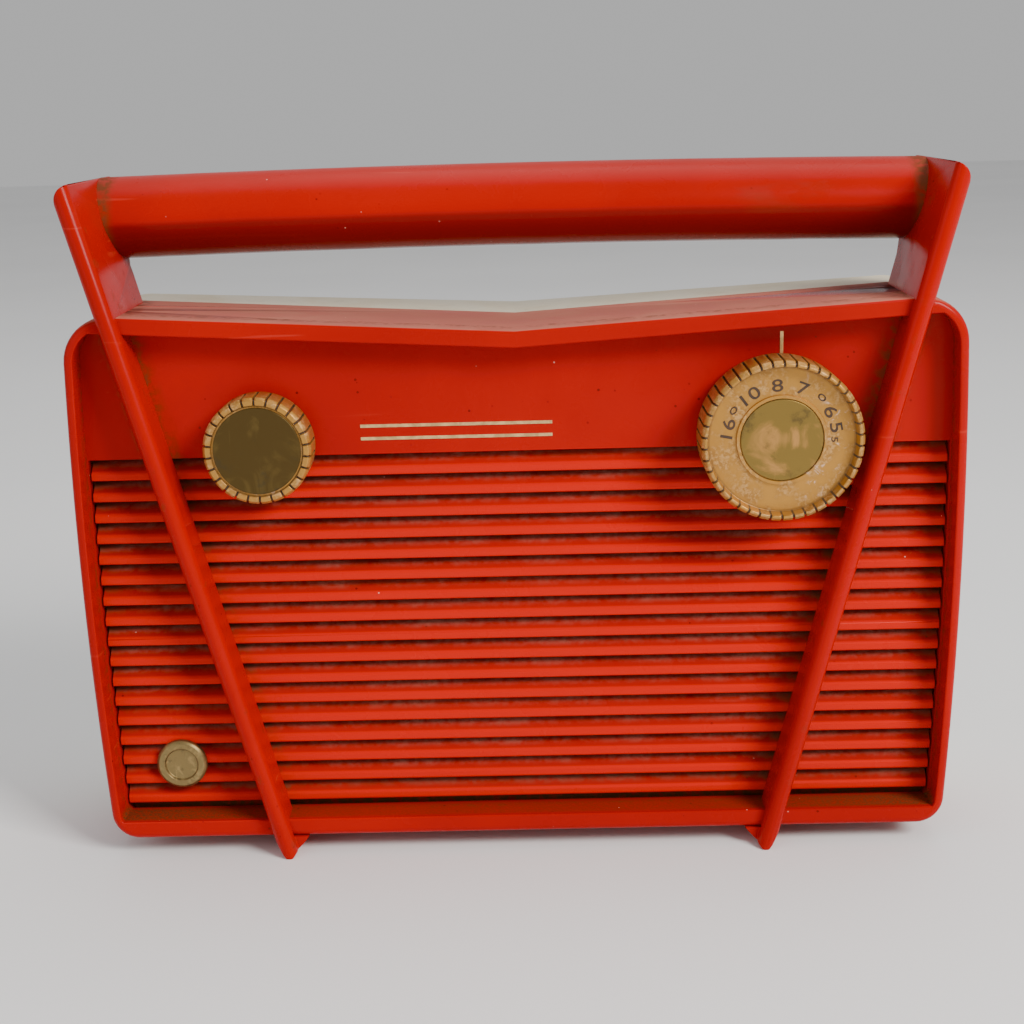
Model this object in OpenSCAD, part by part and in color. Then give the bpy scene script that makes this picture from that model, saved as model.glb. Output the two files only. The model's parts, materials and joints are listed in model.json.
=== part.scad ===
// Portable radio with a carrying handle, standing closed on its feet.
// Panel frame: x across, y back from the control panel's face, z up from the panel's lower edge.

/* [Cabinet] */
// Width of the cabinet at its widest
case_w = 250; // [225:1:300]
// Depth of the front shell behind the panel's face
shell_d = 30; // [28:1:36]
// Depth of the back cover
cover_d = 30; // [28:1:36]
// Wall thickness of the mouldings
wall = 2.8; // [2.4:0.1:3.3]
// How far the rim stands in front of the panel
rim_d = 8; // [6.7:0.1:9.6]
// Height of the bottom rim
bottom_rim = 5.5; // [4.6:0.1:6.6]
// Height of the control panel at its centre
panel_h = 30.3; // [28:0.1:36]
// Rise of the top edge from the centre towards the shoulders, in degrees
top_slope = 3.3; // [2.8:0.1:4]

/* [Louvres] */
// Number of slats
slat_count = 17; // [16:1:20]
// Spacing of the slats
slat_pitch = 6.2; // [5.8:0.1:7.4]

/* [Arms and handle] */
// Width of the front rails and thickness of the arms
rail_w = 5.2; // [4.4:0.1:6.2]
// How far the rails stand in front of the panel
rail_front = 12; // [10:0.1:14.4]
// Distance of each foot's tip from the middle
foot_x = 70; // [60:1:80]
// Height of the feet below the cabinet
foot_h = 5.5; // [4.6:0.1:6.6]
// Top of the arms above the cabinet's shoulders
arm_rise = 36.4; // [34:0.1:43]
// Depth of the hand grip from front to back
grip_d = 31.4; // [28:0.1:36]

/* [Knobs] */
// Radius of the volume knob
volume_r = 15.05; // [12.6:0.05:18]
// Radius of the tuning dial
dial_r = 22.3; // [19:0.1:24]
// Grip notches around the volume knob
volume_notches = 26; // [20:1:31]
// Grip notches around the tuning dial
dial_notches = 42; // [35:1:50]

/* [Hidden] */
$fn = 64;
e = 0.01;                                   // overlap of cutting tools past a face
touch = 0.02;                               // gap between round faces that sit together
fit = 0.3;                                  // play of a part that drops into a moulding
run = 0.05;                                 // radial clearance of a turning shaft

// Cabinet heights, from the panel's lower edge
top_rim = 4.7;                              // height of the top rim at its centre
ledge = 2.6;                                // sill between the last slat and the bottom rim
grille_h = slat_count * slat_pitch;
sill_z = -(grille_h + ledge);
bottom_z = sill_z - bottom_rim;
floor_z = bottom_z - foot_h;
centre_z = panel_h + top_rim;
half_w = case_w / 2;
function top_z(x) = centre_z + abs(x) * tan(top_slope);

// Gently convex sides, and the corner rounding that meets them
side_r = 11.6 * half_w;
side_z = bottom_z + 0.62 * (centre_z - bottom_z);
side_cx = half_w - side_r;
top_corner = 13;
bottom_corner = 8;
function corner_x(z, r) = side_cx + sqrt(pow(side_r - r, 2) - pow(z - side_z, 2));
function top_line(x, r) = top_z(x) - r / cos(top_slope);
top_cz = top_line(corner_x(centre_z, top_corner), top_corner);
top_cx = corner_x(top_cz, top_corner);
bottom_cz = bottom_z + bottom_corner;
bottom_cx = corner_x(bottom_cz, bottom_corner);

// Depths behind the panel's face
panel_t = 2.5;
slat_d = 4.6;
rib_d = 2;
grille_back = slat_d + rib_d;
cloth_t = 0.6;
baffle_y = grille_back + cloth_t;
baffle_t = 3;
chassis_y = 12;
chassis_t = 1.2;
board_y = 27;
board_t = 1.6;
back_y = shell_d + cover_d;
seam = 0.1;                                 // gap between the front shell and the back cover
mid_y = (back_y - dial_front()) / 2;
function dial_front() = rail_front + 4;

// Arms lean outwards from the feet to the handle
arm_top = top_z(107) + arm_rise;
arm_lean = 14.36;
arm_rear = 26;
arm_l = (arm_top - floor_z) / cos(arm_lean);

// Controls sit between the rails
control_z = 4;
volume_gap = 12.13;                         // between the volume knob and its rail
dial_gap = 4;                               // between the tuning dial and its rail
rail_x = foot_x + (control_z - floor_z) * tan(arm_lean) - rail_w / 2 / cos(arm_lean);
volume_x = volume_gap + volume_r - rail_x;
tuning_x = rail_x - dial_gap - dial_r;
disc_r = 0.507 * dial_r;                    // brass disc in the dial, with its ring round it
shaft_r = 3;
knob_gap = 1.5;

// Hand grip
grip_y = 26;                                // middle of the hand grip
grip_top = arm_top + 0.9;
grip_upper_r = 0.503 * grip_d;
grip_lower_r = 0.529 * grip_d;
grip_drop = 23.2;                           // height of the grip's section
grip_bow = 5800;                            // radius of the grip's bow from end to end
rod_r = 2;
rod_z = grip_top - 0.52 * grip_drop;
arm_screw_r = 1.5;

// Speaker and batteries share the space behind the louvres
inner_w = side_cx + sqrt(pow(side_r, 2) - pow(bottom_z + bottom_corner - side_z, 2)) - wall;
cell_r = 13.1;
cell_l = 50;
tray_w = cell_l + 11;
tray_h = 4 * cell_r + 5;
tray_x = inner_w - 2 - tray_w;              // inner edge of each battery tray
tray_z = bottom_z + wall + fit;
tray_y = 10;
tray_t = 1.5;
speaker_r = min(46, tray_x - 8, (grille_h - 12) / 2);
speaker_z = -14 - speaker_r;
magnet_r = 0.42 * speaker_r;

// Board between the volume control and the tuning capacitor
gang_r = 13.5;                              // radius of the capacitor's moving plates
gang_w = 36;
gang_d = 31;
gang_y = chassis_y + chassis_t;
board_x0 = volume_x + 13;
board_x1 = tuning_x - gang_w / 2 - 6;
board_w = board_x1 - board_x0;
board_z0 = -11;
board_z1 = 26;
board_back = board_y + board_t;
rod_y = shell_d + 20;                       // ferrite rod
ferrite_z = 20;
ferrite_r = 4.5;
boss_places = [[volume_x - 23.4, 14], [-30, 20], [30, 20], [tuning_x + 25, 14]];
board_places = [[board_x0 + 4, board_z0 + 4], [board_x1 - 4, board_z0 + 4],
                [board_x0 + 4, board_z1 - 4], [board_x1 - 4, board_z1 - 4]];
fastener_x = half_w - 17;
fastener_z = 6;
fastener_r = 2.5;

red = [0.82, 0.16, 0.06];
cream = [0.86, 0.82, 0.68];
gold = [0.80, 0.62, 0.32];
steel = [0.70, 0.71, 0.72];

// ---- helpers ----

// Puts the panel frame at the middle of the feet's contact plane
module placed() {
  translate([0, -mid_y, -floor_z]) children();
}

// Stands a flat outline up across the cabinet, from depth y0 to y1
module slab(y0, y1) {
  translate([0, y1, 0]) rotate([90, 0, 0]) linear_extrude(y1 - y0) children();
}

// Rod along the depth from y0 to y1
module rod(x, z, r, y0, y1) {
  translate([x, y0, z]) rotate([-90, 0, 0]) cylinder(r = r, h = y1 - y0);
}

// Turned piece about an axis along the depth: the profile's points are [radius, depth]
module turned(x, z, profile) {
  translate([x, 0, z]) rotate([-90, 0, 0]) rotate_extrude() polygon(profile);
}

module on_both_sides() {
  children();
  mirror([1, 0, 0]) children();
}

// What a rounded corner takes off: between the centre, two tangent points and the corner
module corner_cut(cx, cz, r, a0, a1, far) {
  difference() {
    polygon([[cx, cz], [cx + r * cos(a0), cz + r * sin(a0)], [cx + far * cos(a0), cz + far * sin(a0)],
             [cx + far * 1.5 * cos((a0 + a1) / 2), cz + far * 1.5 * sin((a0 + a1) / 2)],
             [cx + far * cos(a1), cz + far * sin(a1)], [cx + r * cos(a1), cz + r * sin(a1)]]);
    translate([cx, cz]) circle(r = r);
  }
}

// Points of an arc, from angle a0 to a1 in n steps
function arc(cx, cz, r, a0, a1, n) =
  [for (i = [0:n]) let (a = a0 + (a1 - a0) * i / n) [cx + r * cos(a), cz + r * sin(a)]];

// Front outline of the cabinet, moved in by a wall
module outline(inset = 0) {
  a_low = atan2(bottom_cz - side_z, bottom_cx - side_cx);
  a_side = atan2(top_cz - side_z, top_cx - side_cx);
  half = concat(
    arc(bottom_cx, bottom_cz, bottom_corner - inset, -90, a_low, 10),
    arc(side_cx, side_z, side_r - inset, a_low, a_side, 18),
    arc(top_cx, top_cz, top_corner - inset, a_side, 90 + top_slope, 12));
  last = len(half) - 1;
  polygon(concat([for (i = [0:last]) if (i != 10 && i != 29) half[i]],
                 [[0, centre_z - inset / cos(top_slope)]],
                 [for (i = [last:-1:0]) if (i != 10 && i != 29) [-half[i][0], half[i][1]]]));
}

// Recess inside the rim, over the panel and the louvres
module recess() {
  reach = half_w + 10;
  intersection() {
    outline(wall);
    polygon([[-reach, sill_z], [reach, sill_z], [reach, top_z(reach) - top_rim], [0, panel_h],
             [-reach, top_z(reach) - top_rim]]);
  }
}

// Part of the recess that the louvres fill
module window() {
  intersection() {
    recess();
    outline(wall + 0.4);
    translate([-half_w, sill_z - 1]) square([case_w, 1 - sill_z]);
  }
}

// Filled envelope of the front shell, which the arms and feet sit against
module shell_block() {
  difference() {
    slab(-rim_d, shell_d) outline();
    slab(-rim_d - 1, 0) recess();
  }
}

// Puts an arm's own axis, from its foot's tip upwards, at the right-hand arm
module along_arm() {
  translate([foot_x, 0, floor_z]) rotate([0, arm_lean, 0]) children();
}

module notches(x, z, r, ring_r, front, back, count) {
  groove = 0.6;
  for (i = [0:count - 1])
    translate([x, 0, z]) rotate([0, i * 360 / count, 0]) {
      translate([-groove / 2, front - 1, r - 0.7]) cube([groove, back - front, 3]);
      translate([-groove / 2, front - 1, ring_r]) cube([groove, 1.9, r]);
    }
}

// ---- cabinet ----

module front_shell() {
  color(red) placed() difference() {
    union() {
      difference() {
        slab(-rim_d, shell_d) outline();
        slab(-rim_d - 1, 0) recess();
        slab(panel_t, shell_d + 1) outline(wall);
        slab(-1, panel_t + 1) window();
      }
      for (p = boss_places) rod(p[0], p[1], 3.6, panel_t - e, chassis_y);
      for (s = [-1, 1]) rod(s * fastener_x, fastener_z, 5, panel_t - e, shell_d + 16);
    }
    for (p = boss_places) rod(p[0], p[1], 1.2, panel_t + 1, chassis_y + 1);
    for (s = [-1, 1]) rod(s * fastener_x, fastener_z, fastener_r + run, shell_d + 4, shell_d + 17);
    rod(volume_x, control_z, shaft_r + 0.6, -1, panel_t + 1);
    rod(tuning_x, control_z, shaft_r + 0.6, -1, panel_t + 1);
    arm_screw_holes(arm_screw_r + touch);
  }
}

// One slat: lip at the front, slope rising backwards, open slot above
module slat() {
  k = slat_pitch / 6.2;
  points = [[0.3, 0], [0, 0.4], [0, 2.1], [0.35, 2.5], [3.6, 5.4], [slat_d, 5.4],
            [slat_d, 3.9], [3.5, 3.6], [1.1, 0]];
  polygon([for (p = points) [p[0], p[1] * k]]);
}

module louvre_grille() {
  ribs = 7;
  frame_w = 5;
  rib_w = 2.4;
  color(red) placed() {
    intersection() {
      slab(0, slat_d) outline(wall + 1);
      for (i = [1:slat_count])
        translate([-half_w, 0, -i * slat_pitch]) rotate([90, 0, 90]) linear_extrude(case_w) slat();
    }
    slab(slat_d, grille_back) difference() {
      intersection() {
        outline(wall + fit);
        translate([-half_w, sill_z - 2.5]) square([case_w, 2.5 - sill_z]);
      }
      for (i = [0:ribs - 1]) {
        pitch = (case_w - 2 * wall - 2 * frame_w) / ribs;
        translate([-half_w + wall + frame_w + i * pitch + rib_w / 2, sill_z + 1])
          square([pitch - rib_w, -sill_z - frame_w]);
      }
    }
  }
}

module grille_cloth() {
  color([0.16, 0.12, 0.10]) placed()
    translate([-speaker_r - 7, grille_back, speaker_z - speaker_r - 4])
      cube([2 * speaker_r + 14, cloth_t, 2 * speaker_r + 10]);
}

module index_line() {
  color(gold) placed() translate([tuning_x + 1, -0.2, control_z + 21]) cube([0.9, 0.2, 7]);
}

// Two plain foil lines between the knobs
module gold_lines() {
  color(gold) placed()
    for (z = [4, 7.6]) translate([-44, -0.2, z]) cube([54, 0.2, 0.9]);
}

module brass_badge() {
  color([0.62, 0.50, 0.28]) placed()
    turned(-0.815 * half_w, sill_z + 15.5, [[0, -1.4], [4.6, -1.2], [5, -2.1], [6.6, -2.1],
                                          [7.4, -1.4], [7.4, 0], [0, 0]]);
}

// ---- arms, feet and handle ----

// Slanted band with a half-round nose, before it is trimmed
module arm_band() {
  nose = rail_w / 2;
  along_arm() {
    translate([0, nose - rail_front, -20]) cylinder(r = nose, h = arm_l + 40);
    translate([-nose, nose - rail_front, -20]) cube([rail_w, arm_rear + rail_front + 30, arm_l + 40]);
  }
}

// Side view of an arm: a rail on the front, a plate above, a widened head that caps the grip
module arm_side() {
  head_y = grip_y + grip_d / 2 + 0.5;
  polygon([[-rail_front, floor_z], [arm_rear - 4, floor_z], [arm_rear - 4, bottom_z + 3],
           [0, bottom_z + 3], [0, centre_z], [arm_rear, centre_z], [arm_rear, grip_top - grip_drop - 5],
           [arm_rear + 3, grip_top - grip_drop], [head_y, grip_top - 0.7 * grip_drop],
           [head_y, arm_top - 7], [head_y - 2, arm_top - 3], [head_y - 6, arm_top], [-rail_front, arm_top]]);
}

// Front view of an arm: its rounded top corner and the pointed foot with its gusset
module arm_front() {
  reach = rail_w / 2 / cos(arm_lean);
  corner = 5.5;
  outer = foot_x + (arm_top - corner - floor_z) * tan(arm_lean) + reach;
  low_x = foot_x + foot_h * tan(arm_lean);
  difference() {
    union() {
      translate([foot_x - 20, bottom_z - e]) square([90, arm_top - bottom_z + e]);
      polygon([[low_x - reach - 5, bottom_z], [foot_x - 1.9, floor_z + 1.2], [foot_x - 0.9, floor_z],
               [foot_x + 0.9, floor_z], [foot_x + 1.9, floor_z + 1.2], [low_x + reach, bottom_z]]);
    }
    corner_cut(outer - corner / cos(arm_lean), arm_top - corner, corner, -arm_lean, 90, 20);
  }
}

module arm_screw_holes(r, depth = 12) {
  for (s = [0, 1]) mirror([s, 0, 0]) for (y = [7, 19])
    along_arm() translate([0, y, arm_l - arm_rise / cos(arm_lean) - 6]) cylinder(r = r, h = 6 + depth);
}

module right_arm_shape() {
  difference() {
    intersection() {
      union() {
        arm_band();
        translate([0, -rail_front + 4, 0]) slab(0, rail_front + arm_rear - 8) polygon(
          [[foot_x - 6.3, bottom_z + 1], [foot_x - 1.4, floor_z], [foot_x + 1.4, floor_z],
           [foot_x + 1.4, bottom_z + 1]]);
      }
      rotate([90, 0, 90]) linear_extrude(half_w + 20) arm_side();
      slab(-rail_front - 1, 90) arm_front();
    }
    shell_block();
    arm_screw_holes(arm_screw_r + touch);
    translate([0, grip_y, rod_z]) rotate([0, 90, 0])
      cylinder(r = rod_r + touch, h = rod_half() + touch);
  }
}

function rod_half() = foot_x + (rod_z - floor_z) * tan(arm_lean) + 1;

module left_arm() {
  color(red) placed() mirror([1, 0, 0]) right_arm_shape();
}

module right_arm() {
  color(red) placed() right_arm_shape();
}

// Two arcs back to back, swept along a very large arc so that the grip bows upwards
module handle_bar() {
  sweep = 2 * asin((half_w + 8) / grip_bow);
  color(red) placed() difference() {
    translate([0, grip_y, grip_top - grip_bow]) rotate([90, 0, 0])
      rotate(90 - sweep / 2) rotate_extrude(angle = sweep, $fn = 7200) intersection() {
        translate([grip_bow - grip_upper_r, 0]) circle(r = grip_upper_r);
        translate([grip_bow - grip_drop + grip_lower_r, 0]) circle(r = grip_lower_r);
      }
    for (s = [0, 1]) mirror([s, 0, 0]) along_arm()
      translate([-rail_w / 2, -20, 0]) cube([60, 100, arm_l + 20]);
    translate([-half_w, grip_y, rod_z]) rotate([0, 90, 0]) cylinder(r = rod_r + touch, h = case_w);
  }
}

module handle_rod() {
  color(steel) placed() translate([-rod_half(), grip_y, rod_z]) rotate([0, 90, 0])
    cylinder(r = rod_r, h = 2 * rod_half());
}

module arm_screws() {
  base = arm_l - arm_rise / cos(arm_lean);
  color(steel) placed() for (s = [0, 1]) mirror([s, 0, 0]) for (y = [7, 19])
    along_arm() translate([0, y, base - 5.4]) {
      cylinder(r = arm_screw_r, h = 16);
      translate([0, 0, -2]) cylinder(r = 2.8, h = 2);
    }
}

// ---- knobs and what they turn ----

module volume_knob() {
  front = -rail_front;
  color(gold) placed() difference() {
    turned(volume_x, control_z, [[shaft_r + touch, -knob_gap], [volume_r - 0.6, -knob_gap],
      [volume_r, -knob_gap - 0.8], [volume_r, front + 1], [volume_r - 0.8, front],
      [volume_r - 2.2, front], [volume_r - 2.4, front + 0.8], [0, front + 0.8],
      [0, front + 3], [shaft_r + touch, front + 3]]);
    notches(volume_x, control_z, volume_r, volume_r - 2.3, front, -knob_gap - 1, volume_notches);
  }
}

module volume_knob_disc() {
  color([0.42, 0.34, 0.16]) placed()
    rod(volume_x, control_z, volume_r - 2.9, 0.3 - rail_front, 0.8 - rail_front);
}

module volume_shaft() {
  color(steel) placed() rod(volume_x, control_z, shaft_r, 3 - rail_front, chassis_y + 8);
}

// Potentiometer: threaded bushing through the chassis plate and a round can behind it
module volume_control() {
  color([0.55, 0.52, 0.45]) placed() difference() {
    union() {
      rod(volume_x, control_z, 4.4, grille_back + 0.6, gang_y + 1);
      rod(volume_x, control_z, 9, gang_y, gang_y + 8);
      translate([volume_x - 6, gang_y + 1, control_z - 15]) cube([12, 1.2, 10]);
    }
    rod(volume_x, control_z, shaft_r + run, 4, chassis_y + 8 + touch);
  }
}

module volume_nut() {
  color(steel) placed() difference() {
    translate([volume_x, chassis_y - 2.4, control_z]) rotate([-90, 0, 0]) cylinder(r = 7, h = 2.4, $fn = 6);
    rod(volume_x, control_z, 4.4 + touch, 0, chassis_y + 1);
  }
}

module power_switch() {
  color([0.2, 0.2, 0.22]) placed() {
    rod(volume_x, control_z, 8, gang_y + 8, gang_y + 13);
    for (x = [-4, 0, 4]) translate([volume_x + x - 0.8, gang_y + 13, control_z - 3]) cube([1.6, 4, 0.6]);
  }
}

module tuning_dial() {
  front = -dial_front();
  floor_y = front + 3.4;
  color(gold) placed() difference() {
    turned(tuning_x, control_z, [[shaft_r + touch, -knob_gap], [dial_r - 0.8, -knob_gap],
      [dial_r, -knob_gap - 1], [dial_r, front + 1.2], [dial_r - 0.9, front],
      [dial_r - 1.6, front], [dial_r - 2.1, floor_y],
      [disc_r + 1.3, floor_y], [disc_r + 1.1, floor_y - 0.7],
      [disc_r + 0.3, floor_y - 0.7], [disc_r + 0.1, floor_y], [0, floor_y], [0, floor_y + 3],
      [shaft_r + touch, floor_y + 3]]);
    notches(tuning_x, control_z, dial_r, dial_r - 1.9, front, -knob_gap - 1, dial_notches);
  }
}

module tuning_dial_disc() {
  color([0.56, 0.48, 0.26]) placed()
    rod(tuning_x, control_z, disc_r, -dial_front() + 2.9, -dial_front() + 3.4);
}

// Tuning capacitor: half-disc moving plates between fixed ones
plate_t = 0.9;
plate_pitch = 3.2;
plate_count = 7;
plate_y = gang_y + 5;

module half_disc(r, angle) {
  rotate(angle) difference() {
    circle(r = r);
    translate([-r - 1, 0]) square([2 * r + 2, r + 1]);
  }
}

module capacitor_rotor() {
  start = gang_y + gang_d + 2;
  color([0.78, 0.78, 0.76]) placed() {
    rod(tuning_x, control_z, shaft_r, -dial_front() + 6.4, start);
    for (i = [0:plate_count - 1]) translate([tuning_x, 0, control_z])
      slab(plate_y + i * plate_pitch, plate_y + i * plate_pitch + plate_t) half_disc(gang_r, -85);
  }
}

module capacitor_stator() {
  color([0.80, 0.79, 0.74]) placed() {
    for (i = [0:plate_count - 1]) translate([tuning_x, 0, control_z])
      slab(plate_y + (i + 0.5) * plate_pitch, plate_y + (i + 0.5) * plate_pitch + plate_t)
        difference() {
          half_disc(16.4, 0);
          circle(r = shaft_r + 1.5);
        }
    for (s = [-1, 1]) rod(tuning_x + s * 6, control_z - 14.6, 0.8, gang_y + 2.5, gang_y + gang_d - 2.5);
  }
}

module stator_insulators() {
  color([0.92, 0.90, 0.84]) placed() for (s = [-1, 1], y = [gang_y + 1.5, gang_y + gang_d - 2.5])
    rod(tuning_x + s * 6, control_z - 14.6, 1.8, y, y + 1);
}

module capacitor_frame() {
  h = 38;
  color(steel) placed() difference() {
    translate([tuning_x - gang_w / 2, 0, control_z - 19]) {
      translate([0, gang_y, 0]) cube([gang_w, 1.5, h]);
      translate([0, gang_y + gang_d - 1.5, 0]) cube([gang_w, 1.5, h]);
      translate([0, gang_y, 0]) cube([gang_w, gang_d, 1.5]);
    }
    rod(tuning_x, control_z, shaft_r + run, gang_y - 1, gang_y + gang_d + 1);
  }
}

// ---- chassis and circuit board ----

module chassis_plate() {
  color(steel) placed() difference() {
    slab(chassis_y, chassis_y + chassis_t) difference() {
      translate([boss_places[0][0] - 7.5, -14.5])
        square([boss_places[3][0] - boss_places[0][0] + 15, 42]);
      translate([-0.2 * half_w, -15]) square([0.4 * half_w, 5]);
    }
    for (p = boss_places) rod(p[0], p[1], 1.4, chassis_y - 1, chassis_y + 2);
    for (p = board_places) rod(p[0], p[1], 1.4, chassis_y - 1, chassis_y + 2);
    for (s = [-1, 1]) rod(s * fastener_x, fastener_z, 5.5, chassis_y - 1, chassis_y + 2);
    rod(volume_x, control_z, 4.4 + touch, chassis_y - 1, chassis_y + 2);
    rod(tuning_x, control_z, shaft_r + 2, chassis_y - 1, chassis_y + 2);
  }
}

// Pan-head screw driven forwards, its head resting at depth y
module screw(x, z, y, r, length) {
  rod(x, z, r, y - length, y + e);
  difference() {
    rod(x, z, 2 * r, y, y + 1.6);
    translate([x - 3 * r, y + 1, z - 0.3]) cube([6 * r, 1, 0.6]);
  }
}

module chassis_screws() {
  color(steel) placed() for (p = boss_places) screw(p[0], p[1], chassis_y + chassis_t, 1.18, 9);
}

module circuit_board() {
  color([0.55, 0.38, 0.16]) placed() difference() {
    translate([board_x0, board_y, board_z0]) cube([board_w, board_t, board_z1 - board_z0]);
    for (p = board_places) rod(p[0], p[1], 1.3, board_y - 1, board_y + 3);
  }
}

module board_spacers() {
  color([0.75, 0.72, 0.6]) placed() for (p = board_places) difference() {
    rod(p[0], p[1], 2.6, gang_y, board_y);
    rod(p[0], p[1], 1.2, gang_y + 2, board_y + 1);
  }
}

module board_screws() {
  color(steel) placed() for (p = board_places) screw(p[0], p[1], board_back, 1.15, 7);
}

function board_x(k) = board_x0 + k * board_w;

module if_can(k) {
  color([0.80, 0.81, 0.82]) placed() translate([board_x(k) - 5, board_back, -6]) {
    cube([10, 15, 10]);
    translate([5, 15, 5]) rotate([-90, 0, 0]) cylinder(r = 2, h = 0.8);
  }
}

module if_can_1() { if_can(0.17); }
module if_can_2() { if_can(0.32); }
module if_can_3() { if_can(0.47); }

module transistors() {
  color([0.62, 0.64, 0.66]) placed() for (i = [0:5]) {
    rod(board_x(0.17 + 0.13 * i), 9.5, 2.9, board_back, board_back + 6);
    rod(board_x(0.17 + 0.13 * i), 9.5, 3.5, board_back, board_back + 0.8);
  }
}

module electrolytics() {
  color([0.16, 0.20, 0.34]) placed() for (k = [0.3, 0.6])
    translate([board_x(k) - 9, board_back + 4, 18]) rotate([0, 90, 0]) cylinder(r = 4, h = 18);
}

module transformer(k, w, h) {
  placed() translate([board_x(k) - w / 2, board_back, -8]) {
    cube([w, 12, h]);
    translate([w * 0.2, 12, h * 0.15]) cube([w * 0.6, 3, h * 0.7]);
  }
}

module driver_transformer() { color([0.45, 0.44, 0.43]) transformer(0.64, 12, 12); }
module output_transformer() { color([0.45, 0.44, 0.43]) transformer(0.84, 16, 13); }

module ferrite_rod() {
  color([0.20, 0.19, 0.18]) placed() translate([-0.6 * half_w, rod_y, ferrite_z]) rotate([0, 90, 0])
    cylinder(r = ferrite_r, h = 1.2 * half_w);
}

module antenna_coil() {
  color([0.72, 0.45, 0.20]) placed() translate([board_x(0.3), rod_y, ferrite_z]) rotate([0, 90, 0])
    difference() {
      cylinder(r = ferrite_r + 1.6, h = 34);
      translate([0, 0, -1]) cylinder(r = ferrite_r + touch, h = 36);
    }
}

module antenna_holders() {
  color([0.85, 0.83, 0.75]) placed() for (k = [0.1, 0.9]) difference() {
    translate([board_x(k) - 1.5, board_back, ferrite_z - 7.5]) cube([3, rod_y - board_back, 11.5]);
    translate([board_x(k) - 2, rod_y, ferrite_z]) rotate([0, 90, 0])
      cylinder(r = ferrite_r + touch, h = 4);
  }
}

// ---- speaker ----

speaker_y = baffle_y + baffle_t;
basket_d = 20;
speaker_bolts = [for (a = [45, 135, 225, 315]) [speaker_r * 0.93 * cos(a), speaker_z + speaker_r * 0.93 * sin(a)]];

module speaker_baffle() {
  size = speaker_r + 5;
  color([0.36, 0.24, 0.14]) placed() difference() {
    translate([-size, baffle_y, speaker_z - speaker_r - 3]) cube([2 * size, baffle_t, 2 * speaker_r + 8]);
    rod(0, speaker_z, speaker_r - 7, baffle_y - 1, speaker_y + 1);
    for (p = speaker_bolts) rod(p[0], p[1], 1.2, baffle_y + 0.6, speaker_y + 1);
  }
}

module speaker_basket() {
  r = speaker_r;
  neck = magnet_r + 1;
  color([0.60, 0.58, 0.50]) placed() difference() {
    turned(0, speaker_z, [[r - 7, speaker_y], [r, speaker_y], [r, speaker_y + 1.2], [r - 5.6, speaker_y + 1.2],
      [neck + 1, speaker_y + basket_d], [0, speaker_y + basket_d], [0, speaker_y + basket_d - 1.2],
      [neck, speaker_y + basket_d - 1.2], [r - 7, speaker_y + 1.2]]);
    for (a = [0:60:300]) translate([0, 0, speaker_z]) rotate([0, a, 0])
      translate([-7, speaker_y + 4, magnet_r + 3]) cube([14, basket_d - 8, r]);
    for (p = speaker_bolts) rod(p[0], p[1], 1.4, speaker_y - 1, speaker_y + 2);
  }
}

module speaker_cone() {
  r = speaker_r - 7.4;
  color([0.22, 0.20, 0.18]) placed() turned(0, speaker_z, [[r, speaker_y + 0.3], [r, speaker_y + 1],
    [r - 2, speaker_y + 1], [8, speaker_y + 13], [8, speaker_y + basket_d - 1.4], [7.3, speaker_y + basket_d - 1.4],
    [7.3, speaker_y + 12.4], [r - 2.6, speaker_y + 0.3]]);
}

module speaker_dust_cap() {
  color([0.12, 0.11, 0.10]) placed() turned(0, speaker_z, [[0, speaker_y + 9.5], [4.5, speaker_y + 10.2],
    [7.2, speaker_y + 12.4], [7.2, speaker_y + 13], [4.2, speaker_y + 11], [0, speaker_y + 10.2]]);
}

module speaker_magnet() {
  color([0.50, 0.50, 0.52]) placed() {
    rod(0, speaker_z, magnet_r, speaker_y + basket_d, speaker_y + basket_d + 9);
    rod(0, speaker_z, magnet_r - 4, speaker_y + basket_d + 9 - e, speaker_y + basket_d + 11);
  }
}

module speaker_screws() {
  color(steel) placed() for (p = speaker_bolts) screw(p[0], p[1], speaker_y + 1.2, 1.15, 3);
}

// ---- batteries: two cells lying one above the other on each side ----

cell_y = tray_y + tray_t + cell_r + 0.5;
function cell_cz(i) = tray_z + tray_t + 0.5 + cell_r + i * (2 * cell_r + 0.5);

module tray_shape() {
  difference() {
    intersection() {
      translate([tray_x, tray_y, tray_z]) cube([tray_w, cell_r + 8, tray_h]);
      slab(0, back_y) outline(wall + fit);
    }
    translate([tray_x + tray_t, tray_y + tray_t, tray_z + tray_t])
      cube([tray_w - 2 * tray_t, cell_r + 8, tray_h - 2 * tray_t]);
  }
}

module battery_tray_left() {
  color([0.25, 0.24, 0.23]) placed() mirror([1, 0, 0]) tray_shape();
}

module battery_tray_right() {
  color([0.25, 0.24, 0.23]) placed() tray_shape();
}

module battery(side, i) {
  x0 = tray_x + tray_t + 4.2;
  color([0.75, 0.18, 0.12]) placed() mirror([side, 0, 0])
    translate([x0, cell_y, cell_cz(i)]) rotate([0, 90, 0]) {
      cylinder(r = cell_r, h = cell_l - 2);
      cylinder(r = 3.2, h = cell_l);
    }
}

module battery_1() { battery(1, 0); }
module battery_2() { battery(1, 1); }
module battery_3() { battery(0, 0); }
module battery_4() { battery(0, 1); }

// A plate and a coil spring at the inner end of each cell, a plate at the outer end
module battery_contacts() {
  inner = tray_x + tray_t;
  outer = tray_x + tray_w - tray_t;
  color(steel) placed() on_both_sides() for (i = [0, 1]) {
    translate([inner, cell_y - 6, cell_cz(i) - 6]) cube([0.5, 12, 12]);
    for (turn = [0:2]) translate([inner + 1 + turn * 1.15, cell_y, cell_cz(i)]) rotate([0, 90, 0])
      rotate_extrude() translate([6.2 - turn, 0]) circle(r = 0.5);
    translate([outer - 0.5, cell_y - 6, cell_cz(i) - 6]) cube([0.5, 12, 12]);
  }
}

// ---- back cover ----

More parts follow.
